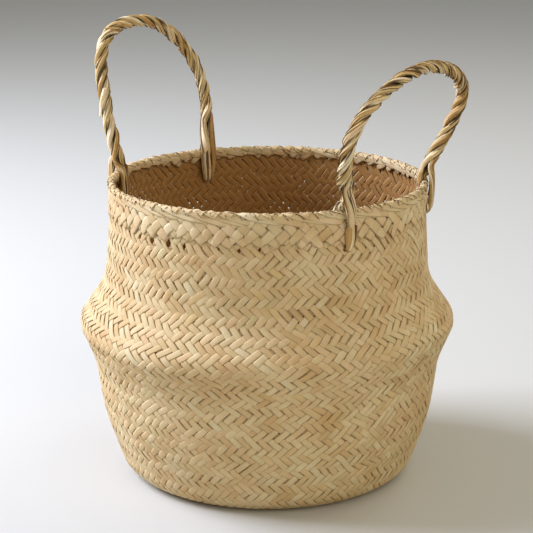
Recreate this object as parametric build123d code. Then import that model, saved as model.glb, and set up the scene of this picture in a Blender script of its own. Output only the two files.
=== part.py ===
from build123d import *
import os
from math import cos, pi, radians, sin, tan

# A round plaited seagrass belly basket with two twisted rope handles, in millimetres.
# The origin is the middle of the underside, +Z is up, and the handles stand at +X (right) and -X (left).
# Each handle's two ends are spread about its bearing, so it swings about a level axis square to that bearing.

# Woven shell: the outer outline, from the middle of the base up to the rim, as (radius, height).
RIM_HEIGHT = 263.0
RIM_RADIUS = 139.0
BASE_EDGE = (128.0, 0.0)
LOWER_WALL = (147.0, 58.0)
WAIST = (153.0, 107.0)
RIDGE = (167.5, 141.5)
NECK = (142.5, 177.0)
OUTLINE_RADII = [22.0, 160.0, 60.0, 15.0, 50.0]
WALL_THICKNESS = 3.0

# Collar: the strip ends folded outwards over the rim and plaited back down the outside.
COLLAR_THICKNESS = 1.6
COLLAR_DEPTH = 28.0
COLLAR_ROUNDING = 1.5

# Rope: three plies with a right-handed twist, each a bundle of seagrass blades.
PLY_COUNT = 3
PLY_RADIUS = 2.7
PLY_GAP = 0.3
PLY_OFFSET = (PLY_RADIUS + PLY_GAP / 2) / sin(pi / PLY_COUNT)
ROPE_RADIUS = PLY_OFFSET + PLY_RADIUS
TWIST_PITCH = 46.0
STEPS_PER_TURN = 8

# End loops: a strand doubled through the wall, whose two legs straddle the rim and meet above it.
LEG_RADIUS = 3.0
LEG_GAP = 0.3
HOLE_DEPTH = 30.0
HOLE_RADIUS = 4.1
HOLE_LENGTH = 30.0
LEG_BEND = 5.2
LEG_SPREAD_HEIGHT = 1.0
LEG_SPREAD_BEND = 10.0
PIVOT_RISE = 9.5
SWING_CLEARANCE = 11.2

# Each handle: its bearing from +X, half the angle between its ends seen from the basket's axis, how far it
# leans outwards, and its arch's corners in the leaning plane, as (along its pivots, height above them).
HANDLES = {
    "right": {
        "bearing": 0.0,
        "spread": 29.5,
        "lean": 19.5,
        "arch": [(-114.0, 62.0), (-39.0, 109.0), (43.0, 103.0), (108.0, 63.0)],
    },
    "left": {
        "bearing": 174.0,
        "spread": 26.0,
        "lean": 17.0,
        "arch": [(-82.0, 56.0), (-36.0, 121.0), (41.0, 118.0), (64.0, 62.0)],
    },
}
FILLET_SHARE = 0.45

WALL_TOP = (RIM_RADIUS - COLLAR_THICKNESS, RIM_HEIGHT - COLLAR_THICKNESS)
SLOPE = (NECK[0] - WALL_TOP[0]) / (WALL_TOP[1] - NECK[1])
PIVOT_RADIUS = RIM_RADIUS - (COLLAR_THICKNESS + WALL_THICKNESS) / 2
PIVOT_HEIGHT = RIM_HEIGHT + PIVOT_RISE


def upper_wall_radius(height, outset=0.0):
    """Radius of the straight upper wall's outside at a height, moved outwards by outset."""
    return WALL_TOP[0] + (WALL_TOP[1] - height) * SLOPE + outset


def revolved(outline):
    """Solid turned about the vertical axis from a closed outline drawn in the XZ plane."""
    return revolve(make_face(outline), Axis.Z)


def on_section(points):
    """(radius, height) pairs as points in the XZ plane."""
    return [(r, 0, z) for r, z in points]


def strand_holes():
    """Radial cutters where the four doubled strands pass through the wall and the collar's foot."""
    cutters = []
    for name, end in ends():
        outwards = rim_direction(name, end)
        middle = outwards * RIM_RADIUS + Vector(0, 0, RIM_HEIGHT - HOLE_DEPTH)
        cutters.append(Plane(origin=middle, z_dir=outwards) * Cylinder(HOLE_RADIUS, HOLE_LENGTH))
    return cutters


def woven_shell():
    """Base, curved lower wall, belly ridge and upper wall, plaited as one shell."""
    points = [(0.0, 0.0), BASE_EDGE, LOWER_WALL, WAIST, RIDGE, NECK, WALL_TOP]
    outside = FilletPolyline(on_section(points), radius=OUTLINE_RADII)
    section = offset(outside, WALL_THICKNESS, side=Side.RIGHT, closed=True)
    shell = revolved(section)
    for hole in strand_holes():
        shell -= hole
    return shell


def rim_collar():
    """Second layer outside the rim, with a lip over the wall's top edge."""
    foot = RIM_HEIGHT - COLLAR_DEPTH
    lip_reach = COLLAR_THICKNESS + WALL_THICKNESS
    points = [
        (upper_wall_radius(foot), foot),
        WALL_TOP,
        (WALL_TOP[0] - WALL_THICKNESS, WALL_TOP[1]),
        (RIM_RADIUS - lip_reach, RIM_HEIGHT),
        (RIM_RADIUS, RIM_HEIGHT),
        (upper_wall_radius(foot, COLLAR_THICKNESS), foot),
    ]
    section = make_face(Polyline(on_section(points + points[:1])))
    collar = revolve(section, Axis.Z)
    top_edges = collar.edges().filter_by(GeomType.CIRCLE).group_by(Axis.Z)[-1]
    collar = fillet(top_edges, COLLAR_ROUNDING)
    for hole in strand_holes():
        collar -= hole
    return collar


def ends():
    """The four handle ends, as (handle name, end), where end is -1 or +1 along the handle's own Y."""
    return [(name, end) for name in HANDLES for end in (-1, 1)]


def rim_direction(name, end):
    """Unit vector in plan from the basket's axis to one handle end."""
    handle = HANDLES[name]
    angle = radians(handle["bearing"] + handle["spread"] * end)
    return Vector(cos(angle), sin(angle), 0)


def pivot(name, end):
    """Point above the rim where a handle end bends."""
    return rim_direction(name, end) * PIVOT_RADIUS + Vector(0, 0, PIVOT_HEIGHT)


def bend_radii(points):
    """Largest comfortable tangent arc at each inner corner of a route."""
    radii = []
    for before, corner, after in zip(points, points[1:], points[2:]):
        turn = radians((corner - before).get_angle(after - corner))
        shorter = min((corner - before).length, (after - corner).length)
        radii.append(FILLET_SHARE * shorter / tan(turn / 2))
    return radii


def tube(points, radii, radius):
    """Round tube along straight runs joined by tangent arcs."""
    path = FilletPolyline(points, radius=radii)
    section = Plane(origin=path @ 0, z_dir=path % 0) * Circle(radius)
    return sweep(section, path=path)


def end_loop(name, end):
    """Doubled strand: outer leg down over the collar, through the wall, and back up the inside.

    Its two tips stop short of the pivot, so that the handle can swing.
    """
    outwards = rim_direction(name, end)
    hole_height = RIM_HEIGHT - HOLE_DEPTH
    spread_height = RIM_HEIGHT + LEG_SPREAD_HEIGHT
    clear = LEG_RADIUS + LEG_GAP
    meeting = LEG_RADIUS + LEG_GAP / 2
    outer = upper_wall_radius(hole_height, COLLAR_THICKNESS + clear)
    inner = upper_wall_radius(hole_height, -WALL_THICKNESS - clear)
    route = [
        (PIVOT_RADIUS + meeting, PIVOT_HEIGHT),
        (upper_wall_radius(spread_height, COLLAR_THICKNESS + clear), spread_height),
        (outer, hole_height),
        (inner, hole_height),
        (upper_wall_radius(spread_height, -WALL_THICKNESS - clear), spread_height),
        (PIVOT_RADIUS - meeting, PIVOT_HEIGHT),
    ]
    points = [outwards * r + Vector(0, 0, z) for r, z in route]
    loop = tube(points, [LEG_SPREAD_BEND, LEG_BEND, LEG_BEND, LEG_SPREAD_BEND], LEG_RADIUS)
    return loop - Pos(*pivot(name, end)) * Sphere(SWING_CLEARANCE)


def lean_frame(name):
    """A handle's own directions: along its two pivots, up its leaning plane, and square to that plane."""
    handle = HANDLES[name]
    bearing = radians(handle["bearing"])
    lean = radians(handle["lean"])
    outwards = Vector(cos(bearing), sin(bearing), 0)
    along_pivots = Vector(-sin(bearing), cos(bearing), 0)
    up_plane = outwards * sin(lean) + Vector(0, 0, cos(lean))
    return along_pivots, up_plane, up_plane.cross(along_pivots)


def arch_route(name):
    """Centre line of a handle, from its first pivot over the crown to its second."""
    handle = HANDLES[name]
    foot = PIVOT_RADIUS * sin(radians(handle["spread"]))
    outline = [(-foot, 0.0), *handle["arch"], (foot, 0.0)]
    along_pivots, up_plane, _ = lean_frame(name)
    middle = (pivot(name, -1) + pivot(name, 1)) / 2
    points = [middle + along_pivots * u + up_plane * v for u, v in outline]
    return FilletPolyline(points, radius=bend_radii(points))


def ply_points(name, ply):
    """Centre of one ply, wound round the handle's centre line and evenly spaced from the others."""
    route = arch_route(name)
    across = lean_frame(name)[2]
    turns = round(route.length / TWIST_PITCH)
    steps = turns * STEPS_PER_TURN
    corner_offset = PLY_OFFSET / cos(pi / STEPS_PER_TURN)
    points = []
    for step in range(steps + 1):
        share = step / steps
        sideways = (route % share).cross(across).normalized()
        angle = 2 * pi * (ply / PLY_COUNT + turns * share)
        points.append(route @ share + (across * cos(angle) + sideways * sin(angle)) * corner_offset)
    return points


def handle_ply(name, ply):
    """One twisted ply of a handle, with a rounded end at each pivot."""
    points = ply_points(name, ply)
    rope = tube(points, bend_radii(points), PLY_RADIUS)
    for point in (points[0], points[-1]):
        rope += Pos(*point) * Sphere(PLY_RADIUS)
    return rope


parts = {"woven_shell": woven_shell(), "rim_collar": rim_collar()}
for name, end in ends():
    place = "front" if rim_direction(name, end).Y < 0 else "back"
    parts[f"{name}_{place}_end_loop"] = end_loop(name, end)
for name in HANDLES:
    for ply, label in enumerate("abc"):
        parts[f"{name}_handle_ply_{label}"] = handle_ply(name, ply)

os.makedirs("parts", exist_ok=True)
for node, shape in parts.items():
    export_step(shape, f"parts/{node}.step")
    print(node, round(shape.volume), "mm3")
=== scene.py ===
"""Looks of the round plaited seagrass basket: every strip and blade is its own curved ribbon.

Metres, in the CAD frame: the origin is the middle of the underside, +Z up, handles at +X and -X.
"""
from math import cos, pi, radians, sin

import bpy
import numpy as np
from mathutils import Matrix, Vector
from mathutils.bvhtree import BVHTree


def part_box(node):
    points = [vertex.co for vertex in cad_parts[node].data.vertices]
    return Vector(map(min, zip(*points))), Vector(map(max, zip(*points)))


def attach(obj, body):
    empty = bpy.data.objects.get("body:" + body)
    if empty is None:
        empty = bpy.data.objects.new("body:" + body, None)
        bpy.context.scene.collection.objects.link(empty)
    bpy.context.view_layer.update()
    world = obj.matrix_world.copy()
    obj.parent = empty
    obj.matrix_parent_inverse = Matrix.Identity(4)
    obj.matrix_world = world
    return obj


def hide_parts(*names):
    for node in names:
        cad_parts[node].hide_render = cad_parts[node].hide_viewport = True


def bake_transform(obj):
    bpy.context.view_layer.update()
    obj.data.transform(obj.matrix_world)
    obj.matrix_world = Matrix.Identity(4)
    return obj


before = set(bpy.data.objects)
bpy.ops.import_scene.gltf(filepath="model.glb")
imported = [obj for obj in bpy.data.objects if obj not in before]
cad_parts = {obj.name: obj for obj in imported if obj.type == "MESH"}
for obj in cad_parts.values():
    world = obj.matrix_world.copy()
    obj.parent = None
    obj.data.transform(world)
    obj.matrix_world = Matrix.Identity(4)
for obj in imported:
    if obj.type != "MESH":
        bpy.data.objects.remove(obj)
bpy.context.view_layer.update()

MM = 0.001
RIM_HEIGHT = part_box("rim_collar")[1].z
RIM_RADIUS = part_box("rim_collar")[1].y
COLLAR_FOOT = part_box("rim_collar")[0].z
WALL_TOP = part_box("woven_shell")[1].z
WALL_THICKNESS = 3.0 * MM

# Wall weave: strips per direction, their pitch across and their section.
STRIPS = 108
SIDE_STRIPS = STRIPS // 4
STRIP_PITCH = 5.75 * MM
STRIP_WIDTH = 5.75 * MM
STRIP_THICKNESS = 0.52 * MM
STRIP_RISE = 0.29 * MM
MIDDLE_DEPTH = 0.8 * MM
BASE_ARC = 122.0 * MM
FLIP_SHARE = 0.045

# Collar weave: wider strips folded over the rim.
FOLDED_STRIPS = 72
FOLDED_WIDTH = 8.3 * MM
FOLDED_THICKNESS = 0.6 * MM
FOLDED_RISE = 0.32 * MM
FOLDED_ROW = 6.06 * MM
INSIDE_DEPTH = 12.0 * MM

# Border: single strips that wind along the rim's edge from the inside to the outside.
BORDER_STRIPS = 64
BORDER_WIDTH = 5.2 * MM
BORDER_RUN = 72.0 * MM
BORDER_ABOVE = 0.55 * MM
BORDER_SAMPLES = 64

# Rows of holes between strips: height, largest hole, seed, and whether they follow how open the weave is.
GAP_ROWS = [
    (COLLAR_FOOT - 3.6 * MM, 2.9 * MM, 5, True),
    (RIM_HEIGHT - 14 * MM, 1.5 * MM, 8, False),
]
GAP_EVERY = 2
GAP_REACH = 5.5 * MM

# Where a handle's strand goes through the wall: how far strips are pushed, and how far round that reaches.
HOLE_PUSH = 2.6 * MM
HOLE_PUSH_REACH = 11 * MM
HOLE_NARROW_REACH = 6 * MM

# Slump: the ridge's dip on its lower side, the bearing that stays up, and the uneven plaiting's size.
RIDGE_DIP = 3.4 * MM
HIGH_SIDE = radians(33)
WOBBLE_ALONG = 0.62 * MM
WOBBLE_AROUND = 0.7 * MM

# Rope handles, as in the CAD: pivots above the rim, and the corners of each arch in its leaning plane.
PLY_COUNT = 3
PLY_OFFSET = 3.15 * MM
TWIST_PITCH = 46.0 * MM
STEPS_PER_TURN = 8
BLADES = 6
COUNTER_TURNS = 3.8
PIVOT_RADIUS = 136.7 * MM
PIVOT_HEIGHT = RIM_HEIGHT + 9.5 * MM
HANDLES = {
    "right": {"bearing": 0.0, "spread": 29.5, "lean": 19.5,
              "arch": [(-116.0, 61.6), (-38.6, 109.2), (43.1, 102.7), (109.5, 62.7)]},
    "left": {"bearing": 174.0, "spread": 26.0, "lean": 17.0,
             "arch": [(-83.4, 55.5), (-35.6, 120.9), (40.6, 118.4), (62.6, 61.7)]},
}
# Each end's hole below the rim in mm, how many twist steps above the pivot its outer and inner plies part,
# how much thicker the rope is there, and how far in mm its inner and outer legs stand apart round the rim.
ENDS = {
    ("right", -1): {"hole_depth": 32.0, "outer": 3, "inner": 1, "thicker": 0.32, "apart": 5.0},
    ("right", 1): {"hole_depth": 28.0, "outer": 1, "inner": 0, "thicker": 0.0, "apart": 0.0},
    ("left", -1): {"hole_depth": 28.0, "outer": 3, "inner": 3, "thicker": 0.05, "apart": 0.0},
    ("left", 1): {"hole_depth": 29.0, "outer": 1, "inner": 0, "thicker": 0.05, "apart": 0.0},
}
LEG_SIDE = 2.5 * MM
CORE_WIDTH = 3.2 * MM
PATH_DETAIL = 5


# ---------------------------------------------------------------- small numeric helpers

def unit(vectors):
    """Rows of an array scaled to length 1."""
    return vectors / np.maximum(np.linalg.norm(vectors, axis=-1, keepdims=True), 1e-12)


def lattice(i, j, seed):
    """Repeatable random number from 0 to 1 for a pair of integers."""
    table = np.random.default_rng(seed).random(4096)
    i, j = np.asarray(i, int), np.asarray(j, int)
    return table[(i * 7919 + j * 104729 + (i * j) % 613) % table.size]


def wander(length, spacing, seed, count):
    """count smooth random values from -1 to 1 along length, with a new knot after each spacing."""
    knots = np.random.default_rng(seed).uniform(-1, 1, int(length / spacing) + 4)
    x = np.linspace(0, len(knots) - 3, count)
    i = x.astype(int)
    t = x - i
    t = t * t * (3 - 2 * t)
    return knots[i] * (1 - t) + knots[i + 1] * t


def tangents(points):
    """Unit directions along a row of points."""
    return unit(np.gradient(points, axis=0))


def plan_directions(bearing):
    """Level unit vectors at bearings from +X."""
    return np.stack([np.cos(bearing), np.sin(bearing), np.zeros_like(bearing)], -1)


def ribbon_axes(centre, out):
    """Directions across and out of a ribbon that lies on a surface with normals out."""
    along = tangents(centre)
    across = unit(np.cross(along, out))
    return across, unit(np.cross(across, along))


def quadratic_spline(points, per_span):
    """Quadratic B-spline that starts and ends on a polyline and cuts its corners."""
    points = np.asarray(points, float)
    joints = [points[0], *((points[1:-2] + points[2:-1]) / 2), points[-1]]
    t = np.linspace(0, 1, per_span, endpoint=False)[:, None]
    spans = [
        start * (1 - t) ** 2 + corner * 2 * t * (1 - t) + end * t**2
        for start, corner, end in zip(joints, points[1:-1], joints[1:])
    ]
    return np.concatenate([*spans, joints[-1][None]])


def carried_frame(points, start_normal):
    """Normals and binormals carried along a curve without twist."""
    along = tangents(points)
    normals = np.empty_like(points)
    normal = np.asarray(start_normal, float)
    for i, t in enumerate(along):
        normal = normal - t * (normal @ t)
        normal /= np.linalg.norm(normal)
        normals[i] = normal
    return along, normals, np.cross(along, normals)


# ---------------------------------------------------------------- ribbon meshes

class Ribbons:
    """Collects closed ribbons of six-sided section, then makes them one mesh."""

    SECTION = np.array([(-1, 0), (-0.6, 1), (0.6, 1), (1, 0), (0.6, -1), (-0.6, -1)], float)

    def __init__(self):
        self.points, self.faces, self.fibre, self.tint = [], [], [], []
        self.count = 0

    def add(self, centre, across, out, width, thickness, tint, depth=0.0, curl=0.0, edge=0.3):
        """One ribbon: centre line, directions across and out, width and thickness, and (tone, hue, seed).

        depth is 1 on top of its neighbours and -1 under them and sets how much painted shade the ribbon gets
        there, and edge is how much more painted shade its two edges get.
        curl is how far its edges bend inwards.
        """
        n = len(centre)
        width = np.broadcast_to(width, n)[:, None, None]
        thickness = np.broadcast_to(thickness, n)[:, None, None]
        side, lift = self.SECTION[:, 0][None, :, None], self.SECTION[:, 1][None, :, None]
        sag = -(0.12 * thickness * np.abs(side) + np.broadcast_to(curl, n)[:, None, None] * side**2)
        ring = centre[:, None] + across[:, None] * side * width / 2
        ring = ring + out[:, None] * (lift * thickness / 2 + sag)
        self.points.append(ring.reshape(-1, 3))
        i = np.arange(n - 1)[:, None] * 6 + np.arange(6)
        j = np.arange(n - 1)[:, None] * 6 + (np.arange(6) + 1) % 6
        quads = np.stack([i, j, j + 6, i + 6], -1).reshape(-1, 4) + self.count
        first = np.array([[0, 5, 4, 1], [1, 4, 3, 2]]) + self.count
        last = first[:, ::-1] + 6 * (n - 1)
        self.faces += [quads, first, last]
        along = np.concatenate([[0], np.cumsum(np.linalg.norm(np.diff(centre, axis=0), axis=1))])
        fibre = np.zeros((n, 6, 3))
        fibre[..., 0] = along[:, None]
        fibre[..., 1] = side[..., 0] * width[..., 0] / 2
        # The third value is the depth that sets the painted shade, lowered at the two edges so that they get
        # more of it.
        fibre[..., 2] = np.broadcast_to(depth, n)[:, None] - edge * (np.abs(side[..., 0]) > 0.9)
        self.fibre.append(fibre.reshape(-1, 3))
        colour = np.ones((n, 6, 4))
        colour[..., 0], colour[..., 1], colour[..., 2] = tint
        # Alpha marks the underside, which the material paints darker as shade and makes rougher.
        colour[..., 3] = (lift[..., 0] < 0) * 1.0
        self.tint.append(colour.reshape(-1, 4))
        self.count += n * 6

    def mesh(self, name, material):
        points, faces = np.concatenate(self.points), np.concatenate(self.faces)
        data = bpy.data.meshes.new(name)
        data.vertices.add(len(points))
        data.vertices.foreach_set("co", points.astype(np.float32).ravel())
        data.loops.add(faces.size)
        data.loops.foreach_set("vertex_index", faces.astype(np.int32).ravel())
        data.polygons.add(len(faces))
        data.polygons.foreach_set("loop_start", np.arange(0, faces.size, 4, dtype=np.int32))
        data.polygons.foreach_set("use_smooth", np.ones(len(faces), bool))
        data.update(calc_edges=True)
        data.validate()
        fibre = data.attributes.new("fibre", "FLOAT_VECTOR", "POINT")
        fibre.data.foreach_set("vector", np.concatenate(self.fibre).astype(np.float32).ravel())
        tint = data.attributes.new("tint", "FLOAT_COLOR", "POINT")
        tint.data.foreach_set("color", np.concatenate(self.tint).astype(np.float32).ravel())
        data.materials.append(material)
        obj = bpy.data.objects.new(name, data)
        bpy.context.scene.collection.objects.link(obj)
        return obj


# ---------------------------------------------------------------- the wall's surface, from the CAD shell

def shell_outline():
    """Outer outline of the CAD shell towards +Y, as arc length, radius, height and outward normal."""
    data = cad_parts["woven_shell"].data
    tree = BVHTree.FromPolygons([v.co for v in data.vertices], [p.vertices for p in data.polygons])
    middle_height, far = 0.1, 1.0
    top_angle = np.arctan2(WALL_TOP - middle_height, RIM_RADIUS) - 1e-4
    outline = []
    for angle in np.linspace(-pi / 2 + 1e-3, top_angle, 1400):
        direction = Vector((0, cos(angle), sin(angle)))
        start = Vector((0, 0, middle_height)) + direction * far
        hit = tree.ray_cast(start, -direction)[0]
        if hit is not None:
            outline.append((hit.y, hit.z))
    outline = np.array([(0.0, 0.0), *outline])
    arc = np.concatenate([[0], np.cumsum(np.linalg.norm(np.diff(outline, axis=0), axis=1))])
    even = np.linspace(0, arc[-1], 1600)
    radius, height = (np.interp(even, arc, outline[:, k]) for k in (0, 1))
    kernel = np.hanning(15)
    kernel /= kernel.sum()
    smooth = [np.convolve(np.pad(v, 7, "edge"), kernel, "valid") for v in (radius, height)]
    radius[8:-8], height[8:-8] = smooth[0][8:-8], smooth[1][8:-8]
    normal = unit(np.stack([np.gradient(height), -np.gradient(radius)], -1))
    return even, radius, height, normal


ARC, RADIUS, HEIGHT, NORMAL = shell_outline()


def at_arc(arc, table):
    """A value of the outline at arc lengths from the middle of the base."""
    return np.interp(arc, ARC, table)


def on_wall(arc, bearing, outset):
    """Points and outward normals at an arc length and bearing, moved outwards by outset."""
    radius, height = at_arc(arc, RADIUS), at_arc(arc, HEIGHT)
    nr, nz = at_arc(arc, NORMAL[:, 0]), at_arc(arc, NORMAL[:, 1])
    direction = plan_directions(bearing)
    up = np.array([0, 0, 1.0])
    normal = unit(direction * nr[:, None] + up * nz[:, None])
    points = direction * radius[:, None] + up * height[:, None] + normal * np.asarray(outset)[..., None]
    return settled(points), normal


def settled(points):
    """The small slump that a soft basket has: its middle isn't quite level or round, and dips on one side."""
    bearing = np.arctan2(points[:, 1], points[:, 0])
    share = np.clip(points[:, 2] / RIM_HEIGHT, 0, 1)
    middle_share = np.sin(pi * share) ** 2
    rise = 1.2 * MM * np.sin(bearing * 2 + 0.6) + 0.8 * MM * np.sin(bearing * 5 + 1.0)
    rise = rise - RIDGE_DIP / 2 * (1 - np.cos(bearing - HIGH_SIDE))
    swell = 1.2 * MM * np.sin(bearing * 3 + 2.0) + 0.7 * MM * np.sin(bearing * 7)
    moved = points.copy()
    moved[:, 2] += rise * middle_share
    plan = points[:, :2] / np.maximum(np.linalg.norm(points[:, :2], axis=1, keepdims=True), 1e-9)
    moved[:, :2] += plan * (swell * middle_share)[:, None]
    return moved


# ---------------------------------------------------------------- openings that the weave leaves

STRIP_ANGLE = 2 * pi / STRIPS
HOLES = [
    (radians(HANDLES[name]["bearing"] + HANDLES[name]["spread"] * end), RIM_HEIGHT - facts["hole_depth"] * MM)
    for (name, end), facts in ENDS.items()
]


def round_holes(arc, bearing):
    """Strips pushed aside and narrowed where the handle strands pass through."""
    radius = at_arc(arc, RADIUS)
    narrow = np.ones_like(arc)
    for hole, hole_height in HOLES:
        hole_arc = np.interp(hole_height, HEIGHT, ARC)
        sideways = ((bearing - hole + pi) % (2 * pi) - pi) * radius
        upwards = arc - hole_arc
        distance = np.hypot(sideways, upwards) + 1e-9
        near = np.exp(-((distance / HOLE_PUSH_REACH) ** 2))
        pushed = np.sqrt(distance**2 + HOLE_PUSH**2) - distance
        arc = arc + upwards / distance * pushed * near
        bearing = bearing + sideways / distance * pushed * near / radius
        narrow = narrow * (1 - 0.4 * np.exp(-((distance / HOLE_NARROW_REACH) ** 2)))
    return arc, bearing, narrow


def openness(bearing):
    """How open the weave is under the collar's foot: most at the front left, little at the right."""
    facing = np.cos(bearing - radians(-110))
    return 0.1 + 0.9 * np.maximum(facing, 0) ** 1.5


def gap_centres():
    """Uneven holes between the wall's strips, in rows, as (arc, bearing, size)."""
    centres = []
    for height, largest, seed, follows_openness in GAP_ROWS:
        row = int(round(np.interp(np.interp(height, HEIGHT, ARC), ROW_ARCS, HALF_ROWS)))
        for k in range(0, STRIPS, GAP_EVERY):
            drawn_size, drawn_aside, drawn_along = (float(lattice(k, n, seed)) for n in (1, 2, 3))
            bearing = (k + 0.5 + row / 2 + 0.5 * (drawn_aside - 0.5)) * STRIP_ANGLE
            size = largest * (0.1 + 0.9 * drawn_size)
            if follows_openness:
                size *= float(openness(bearing))
            shift = (drawn_along - 0.5) * 3.4 * MM
            centres.append((np.interp(row, HALF_ROWS, ROW_ARCS) + shift, bearing, size))
    return np.array(centres)


def opened(arc, bearing):
    """Strips pushed aside and narrowed round each hole between them, which is taller than it is wide."""
    radius = at_arc(arc, RADIUS)[:, None]
    sideways = ((bearing[:, None] - GAPS[:, 1] + pi) % (2 * pi) - pi) * radius
    upwards = arc[:, None] - GAPS[:, 0]
    distance = np.hypot(sideways * 1.3, upwards * 0.75) + 1e-6
    near = np.exp(-((distance / GAP_REACH) ** 2)) * GAPS[:, 2]
    narrow = 1 - np.clip(near.sum(1) / (6 * MM), 0, 0.45)
    arc = arc + (upwards / distance * near).sum(1)
    return arc, bearing + (sideways / distance * near / radius).sum(1), narrow


def wobble(arc, bearing):
    """Uneven plaiting: small smooth shifts along and round the wall, the same for every strip."""
    shift = (
        np.sin(9 * bearing + arc * 95 + 0.4) + np.sin(14 * bearing - arc * 130 + 2.1)
        + np.sin(5 * bearing + arc * 210)
    )
    lift = (
        np.sin(8 * bearing - arc * 110 + 1.3) + np.sin(17 * bearing + arc * 90 + 4.0)
        + np.sin(11 * bearing - arc * 240)
    )
    fade = np.clip((arc - 0.09) / 0.06, 0, 1)
    radius = np.maximum(at_arc(arc, RADIUS), 0.05)
    return arc + lift * WOBBLE_ALONG * fade, bearing + shift * WOBBLE_AROUND * fade / radius


# ---------------------------------------------------------------- wall and base strips

def wall_rows():
    """Arc length of each half row of crossings from the base's edge to the wall's top, and the turn there."""
    arc = np.linspace(BASE_ARC, ARC[-1], 4000)
    radius = at_arc(arc, RADIUS)
    sine = np.minimum(STRIP_PITCH * STRIPS / (2 * pi * radius), 0.98)
    slope = np.sqrt(1 - sine**2) / sine / radius
    turn = np.concatenate([[0], np.cumsum((slope[1:] + slope[:-1]) / 2 * np.diff(arc))])
    rows = turn / (STRIP_ANGLE / 2)
    half_rows = np.arange(0, int(rows[-1] * 2) + 1) / 2
    return half_rows, np.interp(half_rows, rows, arc)


HALF_ROWS, ROW_ARCS = wall_rows()
GAPS = gap_centres()


def rising_left_over(a, b):
    """True where the left-turning strip lies on top: a 2/2 twill in level bands, with a few slips."""
    row = b - a
    slip = lattice(a % STRIPS, b % STRIPS, 11) < FLIP_SHARE
    return (np.mod(row, 4) < 2) ^ slip


def float_heights(over):
    """Height along a strip at its crossings and between them, from whether it is on top at each crossing."""
    sign = np.where(over, 1.0, -1.0)
    between = (sign[1:] + sign[:-1]) / 2 * 1.25
    heights = np.empty(2 * len(sign) - 1)
    heights[0::2], heights[1::2] = sign, between
    return heights


def wall_part(family, index):
    """Arc lengths, bearings and heights of one wall strip from the base's edge up. family is 1 or -1."""
    rows = HALF_ROWS
    whole = rows[0::2].astype(int)
    if family > 0:
        over = rising_left_over(index, index + whole)
    else:
        over = ~rising_left_over(index - whole, index)
    heights = float_heights(over)[: len(rows)]
    if len(heights) < len(rows):
        heights = np.append(heights, heights[-1])
    bearings = (index + family * rows / 2) * STRIP_ANGLE
    return ROW_ARCS, bearings, heights


def base_part(line, kind):
    """Arc lengths, bearings and heights of one strip across the base, from edge to edge.

    The base is a square mat of SIDE_STRIPS by SIDE_STRIPS cells whose rings are drawn out into circles.
    """
    half = SIDE_STRIPS / 2
    reach = SIDE_STRIPS - abs(line)
    other = np.arange(-reach, reach + 0.01, 0.5)
    x, y = (line + other) / 2, (other - line) / 2 * (1 if kind == "p" else -1)
    ring = np.maximum(np.abs(x), np.abs(y))
    rightwards = np.abs(x) > np.abs(y)
    safe = np.maximum(ring, 1e-6)
    side_share = np.where(rightwards, np.sign(x) * y, -np.sign(y) * x) / safe
    side_middle = np.where(rightwards, np.where(x > 0, 0.0, pi), np.where(y > 0, pi / 2, -pi / 2))
    bearing = np.unwrap(side_middle + side_share * pi / 4)
    row = np.round(2 * ring - SIDE_STRIPS).astype(int)
    rising = rightwards if kind == "p" else ~rightwards
    over = (np.mod(row, 4) < 2) ^ ~rising
    heights = float_heights(over[0::2])
    return ring / half * BASE_ARC, bearing, heights


def strip_path(line, kind):
    """Arc lengths, bearings and heights of one whole strip: down a wall, across the base and up again."""
    base_arc, base_bearing, base_height = base_part(line, kind)
    arcs, bearings, heights = [base_arc], [base_bearing], [base_height]
    for end in (0, -1):
        bearing = base_bearing[end]
        index = int(round(bearing / STRIP_ANGLE))
        side = int(round(index / SIDE_STRIPS)) % 2
        family = 1 if (side == 0) == (kind == "p") else -1
        arc, wall_bearing, height = wall_part(family, index)
        if end == 0:
            arcs.insert(0, arc[:0:-1])
            bearings.insert(0, wall_bearing[:0:-1])
            heights.insert(0, height[:0:-1])
        else:
            arcs.append(arc[1:])
            bearings.append(wall_bearing[1:])
            heights.append(height[1:])
    return np.concatenate(arcs), np.concatenate(bearings), np.concatenate(heights)


def strip_tint(seed):
    """(tone, hue, seed) of one strip, each from 0 to 1."""
    draw = np.random.default_rng(seed)
    return draw.random(), draw.random(), draw.random()


def add_wall_strip(ribbons, line, kind, seed):
    """One strip from rim to rim, drifting a little and stepping round the holes."""
    arc, bearing, height = strip_path(line, kind)
    draw = np.random.default_rng(seed)
    count = len(arc)
    drift = wander(count, 14, seed, count) * 0.4 * MM
    radius = np.maximum(at_arc(arc, RADIUS), 5 * MM)
    bearing = bearing + drift / radius
    arc, bearing = wobble(arc, bearing)
    arc, bearing, narrow = round_holes(arc, bearing)
    arc, bearing, gap_narrow = opened(arc, bearing)
    narrow = narrow * gap_narrow
    rise = STRIP_RISE * (1 + 0.25 * wander(count, 5, seed + 9000, count))
    centre, out = on_wall(arc, bearing, height * rise - MIDDLE_DEPTH)
    across, out = ribbon_axes(centre, out)
    uneven = 0.05 * draw.uniform(-1, 1) + 0.08 * wander(count, 4, seed + 5000, count)
    width = STRIP_WIDTH * (1 + uneven) * narrow
    inner = np.clip((radius - 0.02) / 0.06, 0.75, 1)
    # Its over and under heights also set the painted shade where it dives under its neighbours.
    ribbons.add(centre, across, out, width * inner, STRIP_THICKNESS, strip_tint(seed), depth=height)


def woven_strips(material):
    """All wall and base strips, in several pieces named by their direction and their part of the base."""
    made = []
    for kind, label in (("p", "first_direction"), ("q", "second_direction")):
        lines = np.arange(-SIDE_STRIPS + 0.5, SIDE_STRIPS, 1.0)
        for part, group in enumerate(np.array_split(lines, 3)):
            ribbons = Ribbons()
            for line in group:
                seed = int(round(line * 2 + 200)) + (1000 if kind == "q" else 0)
                add_wall_strip(ribbons, line, kind, seed)
            made.append(ribbons.mesh(f"wall_strips_{label}_{part + 1}", material))
    return made


# ---------------------------------------------------------------- collar

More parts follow.
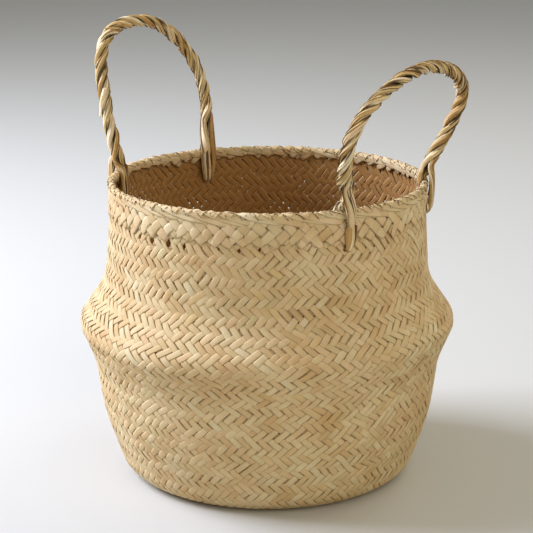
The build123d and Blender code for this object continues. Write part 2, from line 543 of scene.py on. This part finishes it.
def collar_profile():
    """Middle surface of the folded layer, (radius, height): up the inside, over the rim, down the outside."""
    def wall_radius(height):
        return np.interp(height, HEIGHT[len(HEIGHT) // 2:], RADIUS[len(RADIUS) // 2:])

    outset, inset = 0.85 * MM, WALL_THICKNESS - 0.3 * MM
    turn_height = RIM_HEIGHT - 2.7 * MM
    outer, inner = wall_radius(turn_height) + outset, wall_radius(turn_height) - inset
    inside = [(wall_radius(z) - inset, z) for z in np.linspace(RIM_HEIGHT - INSIDE_DEPTH, turn_height, 8)]
    middle, half = (outer + inner) / 2, (outer - inner) / 2
    over = [(middle - half * cos(t), turn_height + half * sin(t)) for t in np.linspace(0, pi, 15)[1:-1]]
    outside = [(wall_radius(z) + outset, z) for z in np.linspace(turn_height, COLLAR_FOOT - 3 * MM, 16)]
    profile = np.array(inside + over + outside)
    arc = np.concatenate([[0], np.cumsum(np.linalg.norm(np.diff(profile, axis=0), axis=1))])
    return arc, profile


COLLAR_ARC, COLLAR_PROFILE = collar_profile()


def on_collar(arc, bearing, outset):
    """Points and outward normals at the folded layer's arc lengths and bearings, moved out by outset."""
    small = 0.6 * MM
    (radius, dr), (height, dz) = (
        (np.interp(arc, COLLAR_ARC, line),
         np.interp(arc + small, COLLAR_ARC, line) - np.interp(arc - small, COLLAR_ARC, line))
        for line in COLLAR_PROFILE.T
    )
    nr, nz = -dz, dr
    direction = plan_directions(bearing)
    normal = unit(direction * nr[:, None] + np.array([0, 0, 1.0]) * nz[:, None])
    points = direction * radius[:, None] + np.array([0, 0, 1.0]) * height[:, None]
    return settled(points + normal * np.asarray(outset)[:, None]), normal


def add_folded_strip(ribbons, family, index, seed):
    """A strip folded over the rim and plaited down outside. family is 1 or -1, and its head lies inside."""
    draw = np.random.default_rng(seed)
    first = 0.1 + 0.9 * draw.random()
    last = (COLLAR_ARC[-1] - 3.4 * MM) / FOLDED_ROW + draw.uniform(-0.8, 0.15)
    rows = np.arange(first, last, 0.25)
    nearest = np.round(rows).astype(int)
    cross = np.cos(pi * rows) * (1 if family > 0 else -1)
    slip = lattice(index + 400 * family, nearest, 21) < 0.2
    height = np.sign(cross) * np.abs(cross) ** 0.6 * np.where(slip, 0.1, 1.0)
    bearing = (index + family * rows / 2) * 2 * pi / FOLDED_STRIPS
    arc = rows * FOLDED_ROW
    count = len(rows)
    bearing = bearing + wander(count, 6, seed + 1, count) * 0.8 * MM / RIM_RADIUS
    arc, bearing = wobble(arc + ARC[-1], bearing)
    arc = arc - ARC[-1]
    outset = height * FOLDED_RISE
    loose = draw.random()
    tail = np.clip((rows - (rows[-1] - 1.2)) / 1.2, 0, 1)
    if loose < 0.18:
        outset = outset + tail**2 * draw.uniform(0.6, 2.4) * MM
    else:
        outset = outset * (1 - 0.6 * tail) - tail**2 * draw.uniform(0.4, 1.1) * MM
    head = np.clip((rows[0] + 0.9 - rows) / 0.9, 0, 1)
    outset = outset + head**2 * draw.uniform(-0.9, 0.5) * MM
    centre, out = on_collar(arc, bearing, outset)
    across, out = ribbon_axes(centre, out)
    width = FOLDED_WIDTH * (1 + 0.07 * draw.uniform(-1, 1) + 0.07 * wander(count, 5, seed + 2, count))
    width = width * (1 - 0.35 * tail**2) * (1 - 0.4 * head)
    # Painted shade where the strip dives under its neighbours, none on top of the rim or at its ends, and a
    # little at its head inside.
    at_rim = np.exp(-(((arc - INSIDE_DEPTH) / (7 * MM)) ** 2)) * 1.8 - 1
    folded_shade_depth = np.maximum(height, np.maximum(at_rim, np.maximum(tail, head) * 2 - 1)) - 1.0 * head
    ribbons.add(centre, across, out, width, FOLDED_THICKNESS, strip_tint(seed), depth=folded_shade_depth)


def add_border_strip(ribbons, index, seed):
    """A strip that starts inside the rim, winds over its edge at a shallow angle and tucks in outside."""
    draw = np.random.default_rng(seed)
    edge_arc = INSIDE_DEPTH + 1.0 * MM
    t = np.linspace(0, 1, BORDER_SAMPLES)
    run = BORDER_RUN * draw.uniform(0.85, 1.15)
    drop = draw.uniform(6.0, 9.5) * MM
    arc = edge_arc - 8.0 * MM + (8.0 * MM + drop) * (t - 0.06 * np.sin(2 * pi * t))
    middle = (index + draw.uniform(-0.15, 0.15)) * 2 * pi / BORDER_STRIPS
    bearing = middle + (t - 0.5) * run / RIM_RADIUS
    tuck = np.clip(1 - np.minimum(t, 1 - t) / 0.14, 0, 1) ** 2
    outset = BORDER_ABOVE + draw.uniform(-0.12, 0.2) * MM - tuck * 1.3 * MM
    centre, out = on_collar(arc, bearing, outset)
    across, out = ribbon_axes(centre, out)
    tilt = draw.uniform(0.04, 0.2)
    across, out = across * cos(tilt) + out * sin(tilt), out * cos(tilt) - across * sin(tilt)
    width = BORDER_WIDTH * draw.uniform(0.75, 1.15) * (1 - 0.45 * tuck)
    # A faint painted shade at the edges where its ends tuck in.
    ribbons.add(centre, across, out, width, FOLDED_THICKNESS * 0.9, strip_tint(seed),
                depth=1 - 0.6 * tuck, edge=0.35)


def border_strips(material):
    """All the strips that wind along the rim's edge, as one piece."""
    ribbons = Ribbons()
    for index in range(BORDER_STRIPS):
        add_border_strip(ribbons, index, 31000 + index)
    return ribbons.mesh("rim_border_strips", material)


def folded_strips(material):
    """The collar's pieces: the strips that lean each way, and the border."""
    made = []
    for family, label in ((1, "left"), (-1, "right")):
        ribbons = Ribbons()
        for index in range(FOLDED_STRIPS):
            add_folded_strip(ribbons, family, index, 20000 + index + 500 * family)
        made.append(ribbons.mesh(f"collar_strips_leaning_{label}", material))
    made.append(border_strips(material))
    return made


# ---------------------------------------------------------------- rope handles

def rim_direction(name, end):
    """Level unit vector from the basket's axis to one handle end."""
    handle = HANDLES[name]
    angle = radians(handle["bearing"] + handle["spread"] * end)
    return np.array([cos(angle), sin(angle), 0.0])


def arch_spline(name):
    """Centre line of a handle, and the direction square to its leaning plane."""
    handle = HANDLES[name]
    bearing, lean = radians(handle["bearing"]), radians(handle["lean"])
    outwards = np.array([cos(bearing), sin(bearing), 0.0])
    along_pivots = np.array([-sin(bearing), cos(bearing), 0.0])
    up_plane = outwards * sin(lean) + np.array([0, 0, cos(lean)])
    foot = PIVOT_RADIUS * sin(radians(handle["spread"]))
    outline = [(-foot, 0.0), *[(u * MM, v * MM) for u, v in handle["arch"]], (foot, 0.0)]
    pivots = [rim_direction(name, end) * PIVOT_RADIUS for end in (-1, 1)]
    middle = (pivots[0] + pivots[1]) / 2 + np.array([0, 0, PIVOT_HEIGHT])
    points = [middle + along_pivots * u + up_plane * v for u, v in outline]
    return quadratic_spline(points, 40), np.cross(up_plane, along_pivots)


def even_samples(points, count):
    """Evenly spaced points along a curve, and its length."""
    arc = np.concatenate([[0], np.cumsum(np.linalg.norm(np.diff(points, axis=0), axis=1))])
    at = np.linspace(0, arc[-1], count)
    return np.stack([np.interp(at, arc, points[:, k]) for k in range(3)], -1), arc[-1]


def leg_points(name, end, outside, sideways):
    """Corners of one ply's way from the hole in the wall up to the pivot, outside or inside the rim."""
    outwards = rim_direction(name, end)
    square = np.cross([0, 0, 1.0], outwards)
    hole = RIM_HEIGHT - ENDS[name, end]["hole_depth"] * MM
    wall = at_arc(np.interp(hole, HEIGHT, ARC), RADIUS)
    if outside:
        route = [(wall - 2.5 * MM, hole - 1.0 * MM, 0.0), (wall + 2.0 * MM, hole, 0.3),
                 (wall + 3.6 * MM, hole + 8 * MM, 0.8), (RIM_RADIUS + 2.5 * MM, RIM_HEIGHT - 10 * MM, 0.8),
                 (RIM_RADIUS + 2.6 * MM, RIM_HEIGHT, 0.8)]
    else:
        route = [(wall + 0.5 * MM, hole - 0.5 * MM, 0.4), (wall - 6.0 * MM, hole - 2.5 * MM, 0.6),
                 (wall - 7.0 * MM, hole + 9 * MM, 1.0), (wall - 7.0 * MM, hole + 20 * MM, 1.0),
                 (wall - 7.2 * MM, RIM_HEIGHT - 1 * MM, 1.0)]
    return [outwards * r + np.array([0, 0, z]) + square * sideways * share for r, z, share in route]


def thicker_along(name, steps):
    """How much thicker a handle's rope is at each twist step, most near some of its ends."""
    total = np.zeros(steps + 1)
    for end in (-1, 1):
        from_end = np.arange(steps + 1) if end < 0 else steps - np.arange(steps + 1)
        total = total + ENDS[name, end]["thicker"] * np.exp(-(((from_end - 3) / 3.5) ** 2))
    return total


def leg_plan(name, end, ply, radials):
    """Whether a ply's leg goes outside the rim, how far it stands aside, and its steps to the pivot."""
    facts = ENDS[name, end]
    outwards = rim_direction(name, end)
    square = np.cross([0, 0, 1.0], outwards)
    side = facts["apart"] / 2 * MM

    def facing(k, steps, direction):
        return radials[k][steps if end < 0 else -1 - steps] @ direction

    outer_ply = max(range(PLY_COUNT), key=lambda k: facing(k, facts["outer"], outwards))
    if ply == outer_ply:
        return True, side, facts["outer"]
    others = [k for k in range(PLY_COUNT) if k != outer_ply]
    first = min(others, key=lambda k: facing(k, facts["inner"], square))
    return False, (-LEG_SIDE if ply == first else LEG_SIDE) - side, facts["inner"]


def ply_paths(name):
    """Each ply's centre line from hole to hole, with its outward direction, leg share, size and seed."""
    centre, plane_normal = arch_spline(name)
    turns = round(even_samples(centre, 10)[1] / TWIST_PITCH)
    steps = turns * STEPS_PER_TURN
    centre, _ = even_samples(centre, steps + 1)
    sideways = unit(np.cross(tangents(centre), plane_normal))
    share = np.linspace(0, 1, steps + 1)
    draw = np.random.default_rng(77 if name == "right" else 78)
    uneven = wander(steps, 10, 31 if name == "right" else 32, steps + 1)
    phase = 2 * pi * turns * share + 0.35 * uneven * np.sin(pi * share)
    thicker = thicker_along(name, steps)
    helices, radials = [], []
    for ply in range(PLY_COUNT):
        angle = (2 * pi * ply / PLY_COUNT + phase)[:, None]
        radial = plane_normal * np.cos(angle) + sideways * np.sin(angle)
        loose = 1 + 0.12 * wander(steps, 7, 40 + ply, steps + 1) + 0.8 * thicker
        helices.append(centre + radial * (PLY_OFFSET / cos(pi / STEPS_PER_TURN) * loose)[:, None])
        radials.append(radial)

    def whole_way(first, middle, last):
        """Smooth values along the first leg, the twisted part and the last leg."""
        return quadratic_spline([*first, *middle, *last], PATH_DETAIL)

    whole = []
    for ply, (helix, radial) in enumerate(zip(helices, radials)):
        legs, facing, partings = [], [], []
        for end in (-1, 1):
            outside, side, parting = leg_plan(name, end, ply, radials)
            legs.append(leg_points(name, end, outside, side))
            facing.append(rim_direction(name, end) * (1 if outside else -1))
            partings.append(parting)
        twisted = slice(partings[0], steps + 1 - partings[1])

        first, last = len(legs[0]), len(legs[1])
        path = whole_way(legs[0], helix[twisted], legs[1][::-1])
        pointing = unit(whole_way([facing[0]] * first, radial[twisted], [facing[1]] * last))
        in_leg = whole_way([[1.0]] * first, [[0.0]] * len(helix[twisted]), [[1.0]] * last)[:, 0]
        swelling = 1 + thicker[:, None]
        size = whole_way([swelling[0]] * first, swelling[twisted], [swelling[-1]] * last)[:, 0]
        whole.append((path, pointing, in_leg, size, draw.random()))
    return whole


def add_blade(ribbons, curve, angle, reach, width, thickness, tilt, tint, span, lift, shade):
    """One flat blade along part of a ply, at an angle round it, tapering to its tips, one of which may lift.

    It is painted dark, as shade, where it turns towards the rope's middle and where it goes into the wall,
    and the ply is pressed flat, most of all along its legs.
    """
    path, normal, binormal, pointing, in_leg = curve
    first, last = span
    part = slice(first, last)
    direction = normal[part] * np.cos(angle[part, None]) + binormal[part] * np.sin(angle[part, None])
    facing = (direction * pointing[part]).sum(1, keepdims=True)
    flat = 0.4 + 0.6 * in_leg[part, None]
    count = last - first
    from_tip = np.arange(count)[::-1]
    ends = np.minimum(np.arange(count), from_tip)
    taper = np.clip((ends + 1.0) / 9, 0, 1) ** 0.7
    loose = np.clip(1 - from_tip / 9, 0, 1) ** 2 * lift
    offset = direction * (reach[part] * (0.8 + 0.2 * taper) + loose)[:, None]
    inwards = pointing[part] * (offset * pointing[part]).sum(1, keepdims=True)
    centre = path[part] + offset - inwards * 0.3 * flat + (offset - inwards) * 0.4 * flat
    direction = unit(direction + pointing[part] * np.sign(facing) * 0.6 * flat)
    along = tangents(centre)
    across = unit(np.cross(along, direction))
    across = unit(across * cos(tilt) + direction * sin(tilt))
    out = unit(np.cross(across, along))
    out = out * np.sign((out * direction).sum(1, keepdims=True))
    # Painted shade in the crease where the blade turns towards the rope's middle, and where the ply goes into
    # the wall.
    crease_shade = np.clip((facing[:, 0] + 0.4) / 0.5, 0, 1) * 2 - 1
    depth = crease_shade * (1 - in_leg[part]) + in_leg[part] - shade[part]
    shape = width[part] * (0.15 + 0.85 * taper)
    ribbons.add(centre, across, out, shape, thickness * (0.4 + 0.6 * taper), tint, depth=depth,
                curl=0.11 * shape, edge=1.05)


def rope_ply(name, label, curve, seed, material):
    """A bundle of folded blades round a core painted in the dark shade colour, from hole to hole through one
    handle.

    curve is the ply's centre line, outward direction, share in a leg and size.
    """
    path, pointing, in_leg, size = curve
    draw = np.random.default_rng(seed)
    _, normal, binormal = carried_frame(path, pointing[0])
    reference = np.unwrap(np.arctan2((pointing * binormal).sum(1), (pointing * normal).sum(1)))
    count = len(path)
    ribbons = Ribbons()
    from_end = np.minimum(np.arange(count), np.arange(count)[::-1])
    leaf = np.sin(pi * np.clip(from_end / 26, 0, 1)) * in_leg
    swell = size + 0.12 * wander(count, 40, seed + 7, count) + 0.25 * leaf
    swell = swell - 0.25 * np.clip(1 - from_end / 9, 0, 1)
    # Painted shade towards each end, where the ply goes into the hole in the wall.
    shade = 0.9 * np.clip(1 - from_end / 11, 0, 1)
    # The core is painted all over with the dark shade colour, standing in for the shade between the blades.
    ribbons.add(path, normal, binormal, CORE_WIDTH * swell, CORE_WIDTH * swell, (0.1, 0.5, 0.5), depth=-1.0)
    for blade in range(BLADES):
        start_angle = 2 * pi * blade / BLADES + draw.uniform(-0.3, 0.3)
        drift = -(2 * pi * COUNTER_TURNS + draw.uniform(-0.6, 0.6)) * np.linspace(0, 1, count)
        angle = reference + start_angle + drift + 0.3 * wander(count, 26, seed + blade, count)
        reach = (1.95 + 0.3 * wander(count, 22, seed + 50 + blade, count)) * MM * swell
        cuts = [0, *sorted((draw.uniform(0.15, 0.9, 2) * count).astype(int)), count]
        for piece, (first, last) in enumerate(zip(cuts, cuts[1:])):
            if last - first < 14:
                continue
            span = (max(0, first - 12), min(count, last + 8))
            uneven = wander(count, 14, seed + 90 + 7 * blade + piece, count)
            width = draw.uniform(3.5, 5.2) * MM * (1 + 0.2 * uneven)
            tint = (draw.random(), draw.random(), draw.random())
            lift = draw.uniform(1.5, 4.5) * MM if draw.random() < 0.4 and 60 < last < count - 60 else 0.0
            add_blade(ribbons, (path, normal, binormal, pointing, in_leg), angle + 0.15 * piece, reach,
                      width * swell, draw.uniform(0.5, 0.8) * MM, draw.uniform(0.05, 0.4), tint, span, lift,
                      shade)
    return ribbons.mesh(f"{name}_handle_ply_{label}", material)


def rope_handles(material):
    """All plies of both handles, between the basket and their handle just above the rim."""
    made = []
    for name in HANDLES:
        for label, (*curve, key) in zip("abc", ply_paths(name)):
            ply = rope_ply(name, label, curve, int(key * 1e6), material)
            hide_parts(f"{name}_handle_ply_{label}")
            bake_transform(ply)
            made.append(ply)
    return made


# ---------------------------------------------------------------- materials

HUES = [(0.92, 1.0, 0.86), (1.0, 1.0, 1.0), (1.0, 0.96, 0.9), (1.0, 0.9, 0.84), (1.0, 0.95, 0.72)]
BLOTCH_COLOUR = (0.88, 0.80, 0.70)


def seagrass_material(name, palette, inside, slit_shade, roughness, fibre_scale, strip_share, hue_share):
    """Dried seagrass: strip-by-strip colour, slow patches and fine fibres along the strip, with painted shade
    where strips dive under and on their undersides.

    palette runs from dull to bright, inside is a painted shade colour that the ribbons' undersides, the inner
    face, are mixed with, and slit is the painted shade colour where a strip or blade dives under its
    neighbours or turns into a crease. strip_share and hue_share say how much strips differ.
    """
    material = bpy.data.materials.new(name)
    material.use_nodes = True
    nodes, links = material.node_tree.nodes, material.node_tree.links
    shader = nodes["Principled BSDF"]

    def node(kind, **settings):
        made = nodes.new(kind)
        for key, value in settings.items():
            setattr(made, key, value)
        return made

    def math(operation, a, b=None, c=None, clamp=False):
        made = node("ShaderNodeMath", operation=operation, use_clamp=clamp)
        for socket, value in zip(made.inputs, (a, b, c)):
            if value is None:
                continue
            if isinstance(value, (int, float)):
                socket.default_value = value
            else:
                links.new(value, socket)
        return made.outputs[0]

    def mix(share, first, second, blend="MIX"):
        made = node("ShaderNodeMix", data_type="RGBA", blend_type=blend)
        for key, value in (("Factor", share), ("A", first), ("B", second)):
            socket = [s for s in made.inputs if s.name == key and s.enabled][0]
            if isinstance(value, (int, float)):
                socket.default_value = value
            elif isinstance(value, tuple):
                socket.default_value = (*value, 1)
            else:
                links.new(value, socket)
        return [s for s in made.outputs if s.enabled][0]

    fibre = node("ShaderNodeAttribute", attribute_name="fibre")
    split = node("ShaderNodeSeparateXYZ")
    links.new(fibre.outputs["Vector"], split.inputs[0])
    along, across, depth = split.outputs
    tint = node("ShaderNodeAttribute", attribute_name="tint")
    tint_split = node("ShaderNodeSeparateColor")
    links.new(tint.outputs["Color"], tint_split.inputs[0])
    tone, hue, seed = tint_split.outputs
    under = tint.outputs["Alpha"]

    def strip_noise(along_scale, across_scale, detail, shift):
        """Noise in the strip's own directions, different on every strip."""
        place = node("ShaderNodeCombineXYZ")
        links.new(math("MULTIPLY", along, along_scale), place.inputs[0])
        links.new(math("MULTIPLY", across, across_scale), place.inputs[1])
        links.new(math("MULTIPLY_ADD", seed, 91.0 + shift), place.inputs[2])
        made = node("ShaderNodeTexNoise")
        made.inputs["Scale"].default_value = 1.0
        made.inputs["Detail"].default_value = detail
        links.new(place.outputs[0], made.inputs["Vector"])
        return made.outputs["Fac"]

    def ramp(level, colours):
        """Colours spread evenly over a level from 0 to 1."""
        made = node("ShaderNodeValToRGB")
        elements = made.color_ramp.elements
        elements.remove(elements[1])
        for i, colour in enumerate(colours):
            position = i / (len(colours) - 1)
            element = elements[0] if i == 0 else elements.new(position)
            element.position, element.color = position, (*colour, 1)
        links.new(level, made.inputs[0])
        return made.outputs[0]

    patches = strip_noise(26.0, 30.0, 2.0, 1.0)
    cells = strip_noise(120.0, 60.0, 1.0, 5.0)
    fibres = strip_noise(35.0, fibre_scale, 3.0, 9.0)
    level = math("ADD", math("MULTIPLY", tone, strip_share), math("MULTIPLY", patches, 0.7))
    level = math("ADD", level, math("MULTIPLY", cells, 0.3))
    level = math("ADD", level, math("MULTIPLY", fibres, 0.3))
    level = math("SUBTRACT", level, 0.15 + strip_share / 2, clamp=True)
    slow = strip_noise(14.0, 8.0, 1.0, 17.0)
    hue_level = math("ADD", math("MULTIPLY", hue, hue_share), math("MULTIPLY", slow, 0.9))
    hue_level = math("SUBTRACT", hue_level, hue_share / 2 - 0.05, clamp=True)
    colour = mix(1.0, ramp(level, palette), ramp(hue_level, HUES), "MULTIPLY")
    coordinates = node("ShaderNodeTexCoord")
    blotches = node("ShaderNodeTexNoise")
    blotches.inputs["Scale"].default_value = 30.0
    blotches.inputs["Detail"].default_value = 3.0
    links.new(coordinates.outputs["Object"], blotches.inputs["Vector"])
    blotch_share = math("MULTIPLY_ADD", blotches.outputs["Fac"], 3.0, -1.2, clamp=True)
    colour = mix(blotch_share, colour, mix(1.0, colour, BLOTCH_COLOUR, "MULTIPLY"))
    # Painted shade: darker towards the slit colour where a strip dives under its neighbours, at its edges,
    # and in the rope's creases.
    buried_shade = math("MULTIPLY", math("SUBTRACT", 0.1, depth, clamp=True), 0.85, clamp=True)
    colour = mix(buried_shade, colour, slit_shade)
    # Painted shade: the undersides, the basket's inner face, are mixed with the darker inside colour.
    colour = mix(math("MULTIPLY", under, 0.85), colour, inside)
    links.new(colour, shader.inputs["Base Color"])
    duller = math("MULTIPLY_ADD", under, 0.3, roughness)
    rough = math("ADD", math("MULTIPLY", fibres, 0.25), duller, clamp=True)
    links.new(rough, shader.inputs["Roughness"])
    shader.inputs["Specular IOR Level"].default_value = 0.2
    bump = node("ShaderNodeBump")
    bump.inputs["Strength"].default_value = 0.45
    bump.inputs["Distance"].default_value = 0.35 * MM
    links.new(fibres, bump.inputs["Height"])
    links.new(bump.outputs[0], shader.inputs["Normal"])
    return material


# After each palette come two painted shade colours: the one for the undersides and the one for where strips
# dive under their neighbours.
wall_material = seagrass_material(
    "plaited_seagrass",
    [(0.48, 0.325, 0.145), (0.585, 0.44, 0.225), (0.67, 0.545, 0.315), (0.77, 0.68, 0.45)],
    (0.325, 0.148, 0.032), (0.40, 0.25, 0.105), 0.62, 2600.0, 0.3, 0.5)
collar_material = seagrass_material(
    "collar_seagrass",
    [(0.48, 0.33, 0.15), (0.60, 0.465, 0.25), (0.70, 0.58, 0.35), (0.80, 0.715, 0.49)],
    (0.47, 0.31, 0.14), (0.20, 0.105, 0.04), 0.62, 2600.0, 0.3, 0.5)
rope_material = seagrass_material(
    "seagrass_rope",
    [(0.37, 0.19, 0.055), (0.55, 0.38, 0.145), (0.66, 0.51, 0.25), (0.76, 0.64, 0.39), (0.88, 0.81, 0.62)],
    (0.20, 0.095, 0.025), (0.03, 0.013, 0.005), 0.45, 3200.0, 0.75, 0.6)


# ---------------------------------------------------------------- pieces

for piece in woven_strips(wall_material):
    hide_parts("woven_shell")
    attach(piece, "basket")
for piece in folded_strips(collar_material):
    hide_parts("rim_collar")
    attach(piece, "basket")
ropes = rope_handles(rope_material)
for name in HANDLES:
    for place in ("front", "back"):
        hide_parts(f"{name}_{place}_end_loop")


# ---------------------------------------------------------------- floor, light and camera

def floor():
    """A pale floor that reaches past the horizon of every view."""
    data = bpy.data.meshes.new("floor")
    reach = 40.0
    data.from_pydata([(-reach, -reach, 0), (reach, -reach, 0), (reach, reach, 0), (-reach, reach, 0)], [],
                     [(0, 1, 2, 3)])
    material = bpy.data.materials.new("pale_floor")
    material.use_nodes = True
    shader = material.node_tree.nodes["Principled BSDF"]
    shader.inputs["Base Color"].default_value = (0.555, 0.545, 0.48, 1)
    shader.inputs["Roughness"].default_value = 0.7
    data.materials.append(material)
    obj = bpy.data.objects.new("floor", data)
    bpy.context.scene.collection.objects.link(obj)


def area_light(name, bearing, elevation, distance, size, power, colour):
    """Square soft light that looks at the basket's middle."""
    data = bpy.data.lights.new(name, "AREA")
    data.size, data.energy, data.color = size, power, colour
    obj = bpy.data.objects.new(name, data)
    direction = Vector((cos(bearing) * cos(elevation), sin(bearing) * cos(elevation), sin(elevation)))
    middle = Vector((0, 0, 0.17))
    obj.location = middle + direction * distance
    obj.rotation_mode = "QUATERNION"
    obj.rotation_quaternion = direction.to_track_quat("Z", "Y")
    bpy.context.scene.collection.objects.link(obj)


def camera():
    """A long lens 33 degrees right of the front, 15.4 degrees up and 1.5 m away."""
    azimuth, elevation, distance, aim_height = radians(33), radians(15.4), 1.5, 0.182
    data = bpy.data.cameras.new("camera")
    data.sensor_width, data.lens, data.shift_x = 36.0, 114.146, -0.00263
    obj = bpy.data.objects.new("camera", data)
    back = Vector((sin(azimuth) * cos(elevation), -cos(azimuth) * cos(elevation), sin(elevation)))
    obj.location = Vector((0, 0, aim_height)) + back * distance
    obj.rotation_mode = "QUATERNION"
    obj.rotation_quaternion = back.to_track_quat("Z", "Y")
    bpy.context.scene.collection.objects.link(obj)
    bpy.context.scene.camera = obj


floor()
area_light("key", radians(-160), radians(36), 2.2, 1.3, 87.0, (0.94, 1.0, 1.28))
area_light("fill", radians(-24), radians(30), 2.6, 2.0, 23.0, (1.0, 0.905, 0.745))
area_light("back", radians(70), radians(45), 2.6, 1.6, 18.0, (1.0, 0.95, 0.86))
camera()
world = bpy.data.worlds.new("studio")
world.use_nodes = True
sky = world.node_tree.nodes["Background"]
sky.inputs[0].default_value = (0.73, 0.73, 0.73, 1)
sky.inputs[1].default_value = 0.46
bpy.context.scene.world = world
bpy.context.scene.view_settings.view_transform = "Standard"
